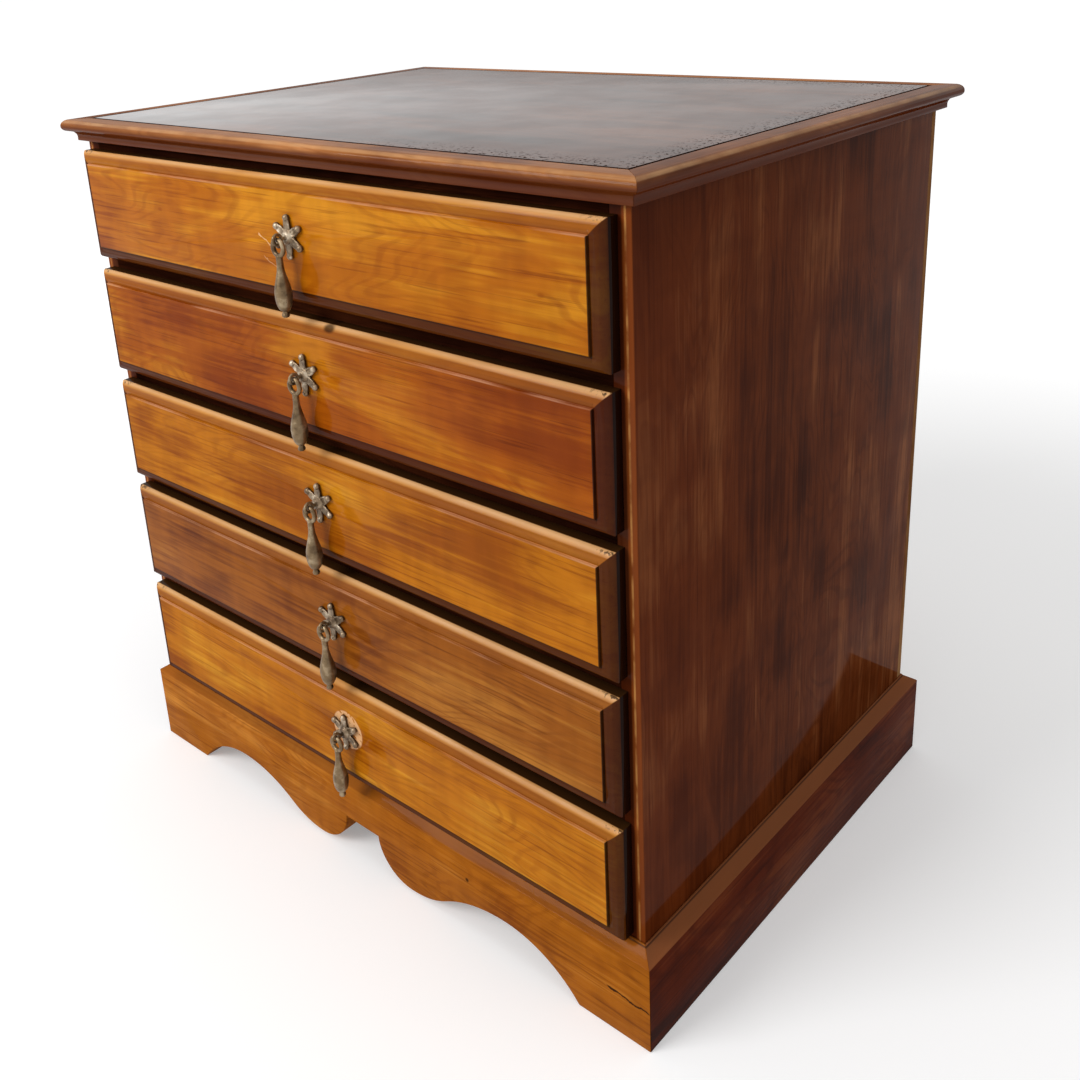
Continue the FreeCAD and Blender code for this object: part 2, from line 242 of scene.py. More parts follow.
# Sizes of the pins and drops, in millimetres. Each station of the button's end is a share of the
# button's size and a height above the lowest point.
pin_wire = 0.95
pin_eye = 2.8
shank_wire = 1.2 * pin_wire
leg_wire = 0.6
ring_wire = 1.4
ring_size = 4.4
neck_size = 1.9
neck_level = 13.5
belly_size = 5.0
belly_level = 31.0
waist_size = 1.7
waist_level = 40.2
button_size = 2.3
button_height = 3.1
button_end = [(0.4, 0.1), (0.85, 0.5)]

# How finely the parts of a handle are melted together, in millimetres, and how finely round forms are
# divided
rosette_grain = 0.24
pin_grain = 0.22
drop_grain = 0.26
round_steps = 40
rod_steps = 24
ball_rings = 14
wire_steps = 16
nail_steps = 14
belly_steps = 6
neck_steps = 8

# Sizes of the back board's nails, and how many stand along each of its edges
nail_size = 2.2 * millimetre
nail_height = 0.9 * millimetre
nail_rise = 0.25 * millimetre
nail_rounding = 0.4 * millimetre
nail_inset = 6.0 * millimetre
nails_along = 6

# The stage, in metres: the floor's size and the gap that keeps it clear of the plinth, where its glow
# starts and ends to grow, and how strong it is there. The surround is dimmer as a light than as seen.
floor_size = 60
floor_gap = 0.2 * millimetre
glow_start = 0.5
glow_end = 1.6
glow_near = 0.27
glow_far = 0.64
surround_light = 0.48
surround_seen = 1.0

# The lamps: each has its place and size in metres, and its power in watts
lamps = {
    "broad light": ((-0.8, -2.0, 1.7), 1.3, 42),
    "upper light": ((0.2, -0.2, 2.4), 1.6, 12),
}
lamp_target = (0, 0, 0.22)

# The camera of the photograph: its place in millimetres from the cabinet's front right corner, its
# turns in radians, its lens and sensor in millimetres, and the shares by which its picture is shifted
camera_offset = (299.3, -406.8, 571.5)
camera_yaw = 0.74344
camera_pitch = 0.33218
camera_roll = -0.05486
lens_length = 39.735
sensor_width = 36
picture_shift = (0.0272, -0.1663)


# Sizes and places given in millimetres, in the metres of the scene.
def in_metres(*sizes):
    return tuple(size * millimetre for size in sizes)


def spot(x, y, z):
    return Vector(in_metres(x, y, z))


# A colour as it looks on screen, turned into the light values that shaders work with.
def tone(red, green, blue):
    shares = [value / 255 for value in (red, green, blue)]
    return tuple(
        share / 12.92 if share < 0.04045 else ((share + 0.055) / 1.055) ** 2.4 for share in shares
    ) + (1.0,)


# Shader nodes, in short calls. An input is linked where it is given another node's output, and set
# where it is given a plain value.
def put(tree, kind, **inputs):
    node = tree.nodes.new(kind)
    for name, value in inputs.items():
        fill(tree, node, name.replace("_", " "), value)
    return node


def fill(tree, node, name, value):
    socket = node.inputs[int(name)] if name.isdigit() else node.inputs[name]
    if isinstance(value, bpy.types.NodeSocket):
        tree.links.new(value, socket)
    else:
        socket.default_value = value


def new_material(name):
    material = bpy.data.materials.new(name)
    material.use_nodes = True
    material.node_tree.nodes.clear()
    return material, material.node_tree


def calc(tree, operation, first, second=0.0):
    node = tree.nodes.new("ShaderNodeMath")
    node.operation = operation
    fill(tree, node, "0", first)
    fill(tree, node, "1", second)
    return node.outputs[0]


def plus(tree, first, second):
    return calc(tree, "ADD", first, second)


def minus(tree, first, second):
    return calc(tree, "SUBTRACT", first, second)


def times(tree, first, second):
    return calc(tree, "MULTIPLY", first, second)


# Several values, each with its own weight, added up.
def weighed(tree, pairs, base):
    total = base
    for value, weight in pairs:
        total = plus(tree, times(tree, value, weight), total)
    return total


# A mask that rises from 0 to 1 while the value goes from low to high.
def rise(tree, value, low, high, start=0.0, end=1.0):
    node = tree.nodes.new("ShaderNodeMapRange")
    node.interpolation_type = "SMOOTHSTEP"
    settings = {"Value": value, "From Min": low, "From Max": high, "To Min": start, "To Max": end}
    for name, setting in settings.items():
        fill(tree, node, name, setting)
    return node.outputs["Result"]


def fall(tree, value, low, high):
    return rise(tree, value, low, high, 1.0, 0.0)


# A mask that is 1 while the value lies between two others.
def between(tree, value, low, high, softness):
    return times(tree, rise(tree, value, low - softness, low), fall(tree, value, high, high + softness))


# Colours spread along a value from 0 to 1; each stop is a place and a colour.
def ramp(tree, value, stops):
    stops = list(stops)
    node = put(tree, "ShaderNodeValToRGB", Fac=value)
    node.color_ramp.interpolation = "EASE"
    elements = node.color_ramp.elements
    while len(elements) < len(stops):
        elements.new(0.5)
    for element, (place, colour) in zip(elements, stops):
        element.position = place
        element.color = colour
    return node.outputs["Color"]


# On a mix node, input 0 is the share, inputs 6 and 7 are the two colours, and output 2 is the result.
def blend(tree, share, first, second, kind="MIX"):
    node = tree.nodes.new("ShaderNodeMix")
    node.data_type = "RGBA"
    node.blend_type = kind
    node.clamp_result = True
    fill(tree, node, "0", share)
    fill(tree, node, "6", first)
    fill(tree, node, "7", second)
    return node.outputs[2]


# Lays a stain, wear, patina, painted light or painted shade over a colour through a mask. Each says how
# far it covers, and with which shade.
def tint(tree, colour, mask, stain):
    cover, shade = stain
    return blend(tree, times(tree, mask, cover), colour, shade)


def noise(tree, vector, scale, detail=3.0, distortion=0.0):
    node = put(
        tree, "ShaderNodeTexNoise", Vector=vector, Scale=scale, Detail=detail, Distortion=distortion
    )
    return node.outputs["Fac"]


# A patchy mask. Between its patches, the share given as start stays.
def patches(tree, vector, pattern, start=0.0):
    scale, detail, low, high = pattern
    return rise(tree, noise(tree, vector, scale, detail), low, high, start)


def placed(tree, vector, shift=(0, 0, 0), stretch=(1, 1, 1)):
    return put(tree, "ShaderNodeMapping", Vector=vector, Location=shift, Scale=stretch).outputs["Vector"]


def object_place(tree):
    return tree.nodes.new("ShaderNodeTexCoord").outputs["Object"]


def coordinates(tree):
    node = put(tree, "ShaderNodeSeparateXYZ", Vector=object_place(tree))
    return [node.outputs[axis] for axis in "XYZ"]


def vector_work(tree, operation, first, second=(0, 0, 0)):
    node = tree.nodes.new("ShaderNodeVectorMath")
    node.operation = operation
    fill(tree, node, "0", first)
    fill(tree, node, "1", second)
    return node


# A mask round one place on a face that looks to the front. Stretch draws it out along X.
def patch(tree, place, reach, softness, stretch=1.0):
    apart = vector_work(tree, "SUBTRACT", object_place(tree), place).outputs[0]
    flat = vector_work(tree, "MULTIPLY", apart, (1 / stretch, 0, 1)).outputs[0]
    return fall(tree, vector_work(tree, "LENGTH", flat).outputs["Value"], reach, reach + softness)


# A mask along a thin, slightly wandering line on a face that looks to the front.
def stroke(tree, start, end, width):
    run = end - start
    course = run.normalized()
    here = object_place(tree)
    apart = vector_work(tree, "SUBTRACT", here, start).outputs[0]
    along = vector_work(tree, "DOT_PRODUCT", apart, course).outputs["Value"]
    aside = vector_work(tree, "DOT_PRODUCT", apart, (-course.z, 0, course.x)).outputs["Value"]
    wander = times(tree, minus(tree, noise(tree, here, wander_scale), 0.5), wander_reach)
    aside = calc(tree, "ABSOLUTE", plus(tree, aside, wander))
    side_mask = fall(tree, aside, width / 2, width)
    return times(tree, side_mask, between(tree, along, 0.0, run.length, width * 2))


# Which way a board's grain runs: the share of its length that its pattern keeps along each axis.
grains = {"level": (0.10, 1.0, 1.0), "upright": (1.0, 1.0, 0.10), "deep": (1.0, 0.10, 1.0)}


# The flame lines of flat-sawn wood are the level lines of a slow noise; a knot makes them bend round it.
def flame_lines(tree, here, stretch, knots):
    field = noise(tree, placed(tree, here, stretch=stretch), flame_scale, distortion=0.5)
    for place in knots:
        bend = patch(tree, place, 0.0, knot_bend, bend_draw)
        field = plus(tree, field, times(tree, bend, knot_pull))
    lines = rise(tree, calc(tree, "SINE", times(tree, field, flame_turns)), 0.0, 1.0)
    return times(tree, lines, patches(tree, here, flame_patches, flame_share))


# Figured wood under a polish: slow bands, fine fibres, flame lines, pores and a faint ripple across
# the grain. The shift moves the pattern, so that each wood shows another part of it. Returns the colour
# and a height for the bump.
def wood_figure(tree, grain, shift, shades, knots=()):
    stretch = grains[grain]
    fine_stretch = tuple(share**fibre_draw for share in stretch)
    flame_stretch = tuple(share**flame_draw for share in stretch)
    cross_stretch = tuple(1.0 if share < 1 else curl_share for share in stretch)
    here = placed(tree, object_place(tree), shift)
    along = placed(tree, here, stretch=stretch)
    thread = placed(tree, here, stretch=fine_stretch)
    bands = noise(tree, along, band_scale, distortion=0.4)
    drifts = noise(tree, placed(tree, here, stretch=flame_stretch), drift_scale, distortion=0.8)
    clouds = noise(tree, here, cloud_scale, detail=2.0)
    fibres = noise(tree, thread, fibre_scale, detail=4.0)
    pattern = [
        (bands, band_weight), (drifts, drift_weight), (clouds, cloud_weight), (fibres, fibre_weight)
    ]
    share = weighed(tree, pattern, 0.5 - sum(weight for _, weight in pattern) / 2)
    colour = ramp(tree, share, zip(shade_places, shades))
    flames = flame_lines(tree, here, flame_stretch, knots)
    colour = tint(tree, colour, flames, (flame_weight, shades[0]))
    curl = noise(tree, placed(tree, here, stretch=cross_stretch), curl_scale, detail=2.0)
    colour = blend(tree, curl_weight, colour, ramp(tree, curl, curl_run), "MULTIPLY")
    pores = patches(tree, thread, pore_patches)
    colour = blend(tree, times(tree, pores, pore_weight), colour, shades[0], "MULTIPLY")
    for place in knots:
        knot = patch(tree, place, knot_size, knot_fade, knot_draw)
        colour = tint(tree, colour, knot, (knot_weight, shades[0]))
    # The fibres stand up a little, and the pores and flame lines lie lower.
    height = weighed(tree, [(fibres, 0.5), (pores, -1.0), (flames, -0.25)], 0.0)
    return colour, height


# Closes a wood material: a light bump and a coat of polish, smeared and a little rippled. The shine is
# the coat's alone, so that the stain under it keeps its depth.
def polish(tree, colour, height, sheen, shine):
    here = object_place(tree)
    low, high = sheen
    smears = noise(tree, here, smear_scale, detail=4.0)
    rough = weighed(tree, [(smears, high - low)], low)
    coat = times(tree, rise(tree, smears, *smear_range, start=1.0, end=smeared_share), shine)
    relief = put(tree, "ShaderNodeBump", Height=height, Distance=pore_relief, Strength=0.6)
    waves = noise(tree, here, ripple_scale, detail=1.0)
    ripple = put(tree, "ShaderNodeBump", Height=waves, Distance=polish_relief, Strength=0.3)
    surface = put(
        tree, "ShaderNodeBsdfPrincipled",
        Base_Color=colour, Roughness=rough, Normal=relief.outputs[0], Specular_IOR_Level=0.0,
        Coat_Weight=coat, Coat_Roughness=coat_roughness, Coat_IOR=coat_index,
        Coat_Normal=ripple.outputs[0],
    )
    put(tree, "ShaderNodeOutputMaterial", Surface=surface.outputs[0])


def plain_wood(name, grain, shift, shades, sheen, shine):
    material, tree = new_material(name)
    colour, height = wood_figure(tree, grain, shift, shades)
    polish(tree, colour, height, sheen, shine)
    return material


# Where a point of a drawer front lies: how far it is from the nearest edge and from the nearest of the
# three edges other than the upper one, whether the upper one is nearest, and how deep it is behind the
# face.
def front_layout(tree, low, high):
    x, y, z = coordinates(tree)
    from_top = minus(tree, high.z, z)
    others = minus(tree, z, low.z)
    for distance in (minus(tree, x, low.x), minus(tree, high.x, x)):
        others = calc(tree, "MINIMUM", others, distance)
    nearest = calc(tree, "MINIMUM", others, from_top)
    upper = rise(tree, minus(tree, others, from_top), -soft_edge, soft_edge)
    return nearest, others, upper, minus(tree, y, low.y)


# A drawer front's own place, drawn out along its length.
def drawn_out(tree):
    return placed(tree, object_place(tree), stretch=(front_draw, 1, 1))


# The moulding of a drawer front. Painted shade, partly dark polish, darkens it on three sides and in its
# crease; its upper run is painted a lighter warm brown, as the side the light falls on, with a painted
# highlight along its crease; and its outer edges, deep in the gaps, are painted nearly black as shade.
def moulding_shade_light_and_polish(tree, colour, layout):
    nearest, _, upper, depth = layout
    crease = moulding_width
    moulding = fall(tree, nearest, crease - moulding_fade, crease)
    # Painted shade, partly dark polish, on the three sides other than the upper one, and in the crease
    painted_shade_sides = times(tree, moulding, minus(tree, 1.0, upper))
    # The upper run is painted lighter, as lit, and palest at its outer edge as a painted highlight.
    painted_light_run = ramp(tree, times(tree, nearest, 1 / crease), upper_run)
    colour = tint(tree, colour, times(tree, moulding, upper), (upper_cover, painted_light_run))
    colour = tint(tree, colour, painted_shade_sides, three_sides_painted_shade_and_polish)
    line = between(tree, nearest, crease - soft_edge, crease + soft_edge, soft_edge)
    colour = tint(tree, colour, times(tree, line, minus(tree, 1.0, upper)), dark_line_and_painted_crease_shade)
    # A painted highlight along the upper crease
    pale_line = between(tree, nearest, crease, crease + pale_line_width, soft_edge)
    patchy = times(tree, upper, patches(tree, drawn_out(tree), pale_patches))
    colour = tint(tree, colour, times(tree, pale_line, patchy), pale_crease_painted_highlight)
    # Painted shade on the faces behind the moulding, in the gaps
    hidden = rise(tree, depth, moulding_depth + hidden_start, moulding_depth + hidden_full)
    return tint(tree, colour, hidden, gap_face_painted_shade)


# Wear and painted highlight along the upper outer edge: a rubbed line that is partly a painted
# highlight, and chips that gather at the mitred corners.
def wear_moulding(tree, colour, layout):
    nearest, others, upper, depth = layout
    shallow = fall(tree, depth, moulding_depth + worn_depth_full, moulding_depth + worn_depth_end)
    edge = times(tree, fall(tree, nearest, rubbed_full, rubbed_end), times(tree, upper, shallow))
    # The rubbed line is partly a painted highlight.
    rubbed = times(tree, edge, patches(tree, drawn_out(tree), rubbed_patches))
    colour = tint(tree, colour, rubbed, rubbed_edge_and_painted_highlight)
    corner = times(tree, fall(tree, others, chips_full, chips_end), edge)
    chipped = times(tree, corner, patches(tree, object_place(tree), chip_patches))
    return tint(tree, colour, chipped, chip_stain)


# A place on a drawer front or on the plinth's front board, counted in millimetres across from the
# middle and up from the lower edge.
def on_front(low, across, up):
    return Vector((across * millimetre, low.y, low.z + up * millimetre))


# What has happened to single drawer fronts: scratches, a dent and the pale mark of an older fitting.
def mark_front(tree, number, colour, low):
    for start, end, strength in scratches.get(number, []):
        line = stroke(tree, on_front(low, *start), on_front(low, *end), scratch_width)
        colour = tint(tree, colour, line, (strength, peach))
    for place in dents.get(number, []):
        dent = patch(tree, on_front(low, *place), dent_size, dent_fade, dent_draw)
        colour = tint(tree, colour, dent, dent_stain)
    if number in older_fittings:
        halo = patch(tree, on_front(low, *older_fittings[number]), fitting_size, fitting_fade)
        ragged = times(tree, halo, patches(tree, object_place(tree), halo_patches))
        colour = tint(tree, colour, ragged, fitting_stain)
    return colour


def front_wood(number, shades):
    material, tree = new_material(f"amber polished wood, drawer {number}")
    low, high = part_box(f"drawer_{number}_front")
    places = [on_front(low, *place) for place in knots.get(number, [])]
    colour, height = wood_figure(tree, "level", (0.23 * number, 0, 0.41 * number), shades, places)
    layout = front_layout(tree, low, high)
    colour = moulding_shade_light_and_polish(tree, colour, layout)
    colour = wear_moulding(tree, colour, layout)
    colour = mark_front(tree, number, colour, low)
    polish(tree, colour, height, front_sheen, front_shine)
    return material


# The case sides: a deep walnut stain, redder towards the front. The stile that shows beside the drawers
# is darker inside and amber outside, with a thin pale line.
def side_board_wood():
    material, tree = new_material("dark polished side wood")
    low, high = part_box("case_side_right")
    colour, height = wood_figure(tree, "upright", (0.3, 0.1, 0.2), walnut)
    x, y = coordinates(tree)[:2]
    colour = tint(tree, colour, fall(tree, y, low.y, low.y + red_reach), red_stain)
    colour = tint(tree, colour, patches(tree, object_place(tree), blotch_patches), blotch_stain)
    stile = fall(tree, y, low.y + stile_skin - soft_edge, low.y + stile_skin)
    from_side = minus(tree, high.x, calc(tree, "ABSOLUTE", x))
    inner = rise(tree, from_side, stile_amber_end, stile_dark_start)
    colour = tint(tree, colour, times(tree, stile, inner), inner_stile_darkening)
    colour = tint(tree, colour, times(tree, stile, minus(tree, 1.0, inner)), outer_stile_stain)
    bead = times(tree, stile, between(tree, from_side, bead_start, bead_end, soft_edge))
    broken = times(tree, bead, patches(tree, object_place(tree), bead_patches))
    colour = tint(tree, colour, broken, bead_pale_line)
    polish(tree, colour, height, side_sheen, side_shine)
    return material


# How far a point is outside the flat panel of the top, seen from above.
def outside_panel(tree):
    low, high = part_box("top_panel")
    x, y = coordinates(tree)[:2]
    outside = minus(tree, x, high.x)
    for distance in (minus(tree, low.x, x), minus(tree, y, high.y), minus(tree, low.y, y)):
        outside = calc(tree, "MAXIMUM", outside, distance)
    return outside


def groove_mask(tree):
    return between(tree, outside_panel(tree), -groove_half, groove_half, soft_edge)


# The top's panel, with a dark groove round it and dark specks where the polish has broken near an edge.
# The polish is fullest along the front and has sunk towards the back.
def panel_wood():
    material, tree = new_material("dark polished top wood")
    low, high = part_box("top_panel")
    colour, height = wood_figure(tree, "level", (0.5, 0.2, 0.1), table_top)
    x, y = coordinates(tree)[:2]
    near_edge = rise(tree, outside_panel(tree), -specks_start, -specks_full)
    right_half = rise(tree, x, 0.0, high.x * specks_share)
    specks = patches(tree, object_place(tree), speck_patches)
    worn = times(tree, specks, times(tree, near_edge, right_half))
    groove = groove_mask(tree)
    colour = tint(tree, colour, worn, speck_stain)
    colour = tint(tree, colour, groove, dark_line_and_painted_crease_shade)
    sunk = rise(tree, y, low.y, high.y, top_shine_front, top_shine_back)
    whole = minus(tree, 1.0, calc(tree, "MAXIMUM", worn, groove))
    polish(tree, colour, height, top_sheen, times(tree, sunk, whole))
    return material


# The moulding round the top: a pale line along the nose, partly rubbed and partly a painted highlight,
# over a cove darkened with painted shade.
def nose_moulding_wood(name, grain, shades):
    material, tree = new_material(name)
    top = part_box("top_panel")[1].z
    colour, height = wood_figure(tree, grain, (0.2, 0.4, 0.6), shades)
    below = minus(tree, top, coordinates(tree)[2])
    # Painted shade in the cove
    colour = tint(tree, colour, rise(tree, below, cove_start, cove_full), cove_painted_shade)
    # A rubbed line, partly a painted highlight
    brow = between(tree, below, brow_start, brow_end, brow_fade)
    uneven = times(tree, brow, patches(tree, object_place(tree), brow_patches, brow_share))
    colour = tint(tree, colour, uneven, rubbed_brow_and_painted_highlight)
    colour = tint(tree, colour, groove_mask(tree), dark_line_and_painted_crease_shade)
    polish(tree, colour, height, side_sheen, nose_shine)
    return material


# The plinth: its bevelled upper edge is given another brown than the face below it.
def plinth_wood(name, grain, shades, bevel_tone, marks=None):
    material, tree = new_material(name)
    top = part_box("plinth_front")[1].z
    colour, height = wood_figure(tree, grain, (0.7, 0.6, 0.2), shades)
    below = minus(tree, top, coordinates(tree)[2])
    bevel = fall(tree, below, bevel_height, bevel_height + soft_edge)
    colour = tint(tree, colour, bevel, bevel_tone)
    seam = between(tree, below, seam_start, seam_end, soft_edge)
    colour = tint(tree, colour, seam, seam_stain)
    if marks:
        colour = marks(tree, colour)
    polish(tree, colour, height, plinth_sheen, plinth_shine)
    return material


# The split in the right foot of the plinth's front board, and a dent over the arch.
def foot_marks(tree, colour):
    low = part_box("plinth_front")[0]
    split_start, split_end = [on_front(low, *place) for place in foot_split]
    colour = tint(tree, colour, stroke(tree, split_start, split_end, crack_width), dark_line_and_painted_crease_shade)
    dent = patch(tree, on_front(low, *foot_dent), foot_dent_size, foot_dent_fade)
    return tint(tree, colour, dent, dent_stain)


# Old cast metal: an olive brown patina with dark pits, rubbed pale in places. Where the place of a
# plate's back is given, the metal is dark near it too, with patina and painted shade in the hollows.
def aged_brass(name, shades, back=None):
    material, tree = new_material(name)
    here = object_place(tree)
    cloud = noise(tree, here, tarnish_scale, detail=4.0)
    speck = noise(tree, here, pit_scale)
    colour = ramp(tree, cloud, zip(tarnish_places, shades))
    colour = tint(tree, colour, rise(tree, speck, *pit_range), pit_stain)
    if back is not None:
        # Patina and painted shade near the plate's back
        hollow = rise(tree, coordinates(tree)[1], back - patina_start, back - patina_full)
        colour = tint(tree, colour, hollow, hollow_patina_and_painted_shade)
    rough = weighed(tree, [(cloud, tarnish_dulling)], polished_roughness)
    relief = put(tree, "ShaderNodeBump", Height=speck, Distance=cast_relief, Strength=0.4)
    surface = put(
        tree, "ShaderNodeBsdfPrincipled",
        Base_Color=colour, Metallic=brass_share, Roughness=rough, Normal=relief.outputs[0],
    )
    put(tree, "ShaderNodeOutputMaterial", Surface=surface.outputs[0])
    return material


def old_iron():
    material, tree = new_material("rusted iron nail heads")
    rust = noise(tree, object_place(tree), rust_scale, detail=4.0)
    colour = ramp(tree, rust, rusted_iron)
    relief = put(tree, "ShaderNodeBump", Height=rust, Distance=rust_relief, Strength=0.6)
    surface = put(
        tree, "ShaderNodeBsdfPrincipled",
        Base_Color=colour, Metallic=iron_share, Roughness=rust_roughness, Normal=relief.outputs[0],
    )
    put(tree, "ShaderNodeOutputMaterial", Surface=surface.outputs[0])
    return material


# Selection helpers: everything is let go first, then one piece is taken.
def take(piece):
    bpy.ops.object.select_all(action="DESELECT")
    piece.select_set(True)
    bpy.context.view_layer.objects.active = piece


def apply_modifier(piece, kind, **settings):
    take(piece)
    modifier = piece.modifiers.new(kind.title(), kind)
    for name, value in settings.items():
        setattr(modifier, name, value)
    bpy.ops.object.modifier_apply(modifier=modifier.name)


def smooth(piece, angle):
    take(piece)
    bpy.ops.object.shade_smooth_by_angle(angle=math.radians(angle))


# Finishes a piece: its place goes into its mesh, and it gets its name, its material and its body.
def settle(piece, name, material, body, replaced=()):
    take(piece)
    bpy.ops.object.transform_apply(location=True, rotation=True, scale=True)
    piece.name = name
    piece.data.name = name
    piece.data.materials.clear()
    piece.data.materials.append(material)
    if replaced:
        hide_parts(*replaced)
    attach(piece, body)


# A board as the solids have it, its sharp edges eased as a plane and years of hands leave them.
def eased_board(node, easing, material, body):
    solid = nodes[node]
    board = solid.copy()
    board.data = solid.data.copy()
    board.parent = None
    for key in list(board.keys()):
        del board[key]
    bpy.context.scene.collection.objects.link(board)
    take(board)
    bpy.ops.object.mode_set(mode="EDIT")
    bpy.ops.mesh.select_all(action="SELECT")
    bpy.ops.mesh.remove_doubles(threshold=merge_distance)
    bpy.ops.mesh.dissolve_limited(angle_limit=math.radians(flat_angle))
    bpy.ops.object.mode_set(mode="OBJECT")
    apply_modifier(
        board, "BEVEL", width=easing * millimetre, segments=2, limit_method="ANGLE",
        angle_limit=math.radians(sharp_angle), use_clamp_overlap=True,
    )
    smooth(board, shaded_angle)
    settle(board, f"{node}_finished", material, body, [node])


def join(parts):
    bpy.ops.object.select_all(action="DESELECT")
    for part in parts:
        part.select_set(True)
    bpy.context.view_layer.objects.active = parts[0]
    bpy.ops.object.join()
    return parts[0]


# Parts that were cast in one are melted together, and smoothed in a number of rounds.
def melt(parts, grain_size, rounds):
    piece = join(parts)
    take(piece)
    bpy.ops.object.transform_apply(location=True, rotation=True, scale=True)
    apply_modifier(piece, "REMESH", mode="VOXEL", voxel_size=grain_size * millimetre)
    apply_modifier(piece, "SMOOTH", factor=0.5, iterations=rounds)
    take(piece)
    bpy.ops.object.shade_smooth()
    return piece


# A place a number of millimetres in front of another.
def forward(place, distance):
    return place - spot(0, distance, 0)


# A flattened or drawn out ball. Sizes are its half lengths in millimetres.
def ball(place, sizes, turn=(0, 0, 0)):
    bpy.ops.object.select_all(action="DESELECT")
    bpy.ops.mesh.primitive_uv_sphere_add(
        segments=rod_steps, ring_count=ball_rings, radius=1.0, location=place
    )
    piece = bpy.context.object
    piece.scale = in_metres(*sizes)
    piece.rotation_euler = turn
    return piece


# A ring of wire. Wire is the radius of the wire.
def ring(place, radius, wire, turn, stretch=(1, 1, 1)):
    bpy.ops.object.select_all(action="DESELECT")
    bpy.ops.mesh.primitive_torus_add(
        location=place, rotation=turn, major_radius=radius * millimetre, minor_radius=wire * millimetre,
        major_segments=round_steps, minor_segments=wire_steps,
    )
    piece = bpy.context.object
    piece.scale = stretch
    return piece


# A round rod from one place to another.
def rod(start, end, radius):
    run = end - start
    bpy.ops.object.select_all(action="DESELECT")
    bpy.ops.mesh.primitive_cylinder_add(
        vertices=rod_steps, radius=radius * millimetre, depth=run.length, location=(start + end) / 2,
        rotation=run.to_track_quat("Z", "Y").to_euler(),
    )
    return bpy.context.object


# A turned form, drawn out of a small disc station by station. Each station is a radius and a depth
# below the place given.
def turned(place, stations):
    first_radius, first_depth = stations[0]
    bpy.ops.object.select_all(action="DESELECT")
    bpy.ops.mesh.primitive_circle_add(
        vertices=round_steps, radius=first_radius * millimetre, fill_type="NGON",
        location=place - spot(0, 0, first_depth),
    )
    piece = bpy.context.object
    bpy.ops.object.mode_set(mode="EDIT")
    bpy.ops.mesh.select_all(action="SELECT")
    for (radius_before, depth_before), (radius, depth) in zip(stations, stations[1:]):
        step = spot(0, 0, depth_before - depth)
        bpy.ops.mesh.extrude_region_move(TRANSFORM_OT_translate={"value": step})
        share = radius / radius_before
        bpy.ops.transform.resize(value=(share, share, share))
    bpy.ops.mesh.select_all(action="SELECT")
    bpy.ops.mesh.normals_make_consistent(inside=False)
    bpy.ops.object.mode_set(mode="OBJECT")
    return piece


# One arm of the rosette: a dished petal with a raised rim, and a round knob at its end.
def rosette_arm(middle, reach, turn):
    out = Vector((math.sin(turn), 0, math.cos(turn)))
    lean = Euler((0, turn, 0))
    petal = middle + out * petal_middle * millimetre
    length = petal_half * petal_stretch
    # The ring is laid flat against the drawer front first, so its own Y runs along the arm.
    flat = (lean.to_matrix() @ Euler(facing_front).to_matrix()).to_euler()
    rim = ring(forward(petal, petal_forward), petal_half, petal_rim, flat, (1.0, petal_stretch, 1.0))
    dish_sizes = (petal_half + dish_wider, dish_depth, length + dish_longer)
    dish = ball(forward(petal, web_forward), dish_sizes, lean)
    knob = ball(forward(middle + out * reach, knob_forward), (knob_size, knob_depth, knob_size))
    return [rim, dish, knob]


# The cast rosette: six dished petals that end in knobs, round a boss with a collar.
def model_rosette():
    low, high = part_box("drawer_1_rosette")
    middle = Vector((0, high.y, (low.z + high.z) / 2))
    reach = (high.z - low.z) / 2 - knob_size * millimetre
    parts = []
    for arm in range(arm_count):
        parts += rosette_arm(middle, reach, math.tau * arm / arm_count)
    parts.append(ball(forward(middle, web_forward), (web_size, web_depth, web_size)))
    boss_depth = boss_rise - boss_forward
    parts.append(ball(forward(middle, boss_forward), (boss_size, boss_depth, boss_size)))
    parts.append(ring(forward(middle, collar_forward), collar_size, collar_wire, facing_front))
    return melt(parts, rosette_grain, rounds=1)


# The split pin: a bent eye of wire, its shank and two legs clenched behind the drawer front.
def model_pin():
    low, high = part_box("drawer_1_pin")
    hinge = hinges[1]
    leg = (high.z + low.z) / 2
    back = high.y - leg_wire * millimetre
    eye = ring(hinge, pin_eye, pin_wire, facing_side)
    shank_start = Vector((0, hinge.y + (pin_eye - pin_wire / 2) * millimetre, leg))
    parts = [eye, rod(shank_start, Vector((0, back, leg)), shank_wire)]
    for end in (low.z + leg_wire * millimetre, high.z - leg_wire * millimetre):
        parts.append(rod(Vector((0, back, leg)), Vector((0, back, end)), leg_wire))
    return melt(parts, pin_grain, rounds=1)


# The drop's turned outline, from the button upwards: each station is a radius and a depth.
def drop_outline(length):
    button_top = length - button_height
    stations = [(button_size * share, length - height) for share, height in button_end]
    stations += [(button_size, length - button_height / 2), (waist_size, button_top)]
    for step in range(belly_steps + 1):
        turn = math.pi / 2 * (1 - step / belly_steps)
        radius = waist_size + (belly_size - waist_size) * math.cos(turn)
        stations.append((radius, belly_level + (waist_level - belly_level) * math.sin(turn)))
    for step in range(1, neck_steps + 1):
        share = step / neck_steps
        radius = neck_size + (belly_size - neck_size) * (1 + math.cos(math.pi * share)) / 2
        stations.append((radius, belly_level - (belly_level - neck_level) * share))
    stations.append((neck_size, 2 * ring_size))
    return stations


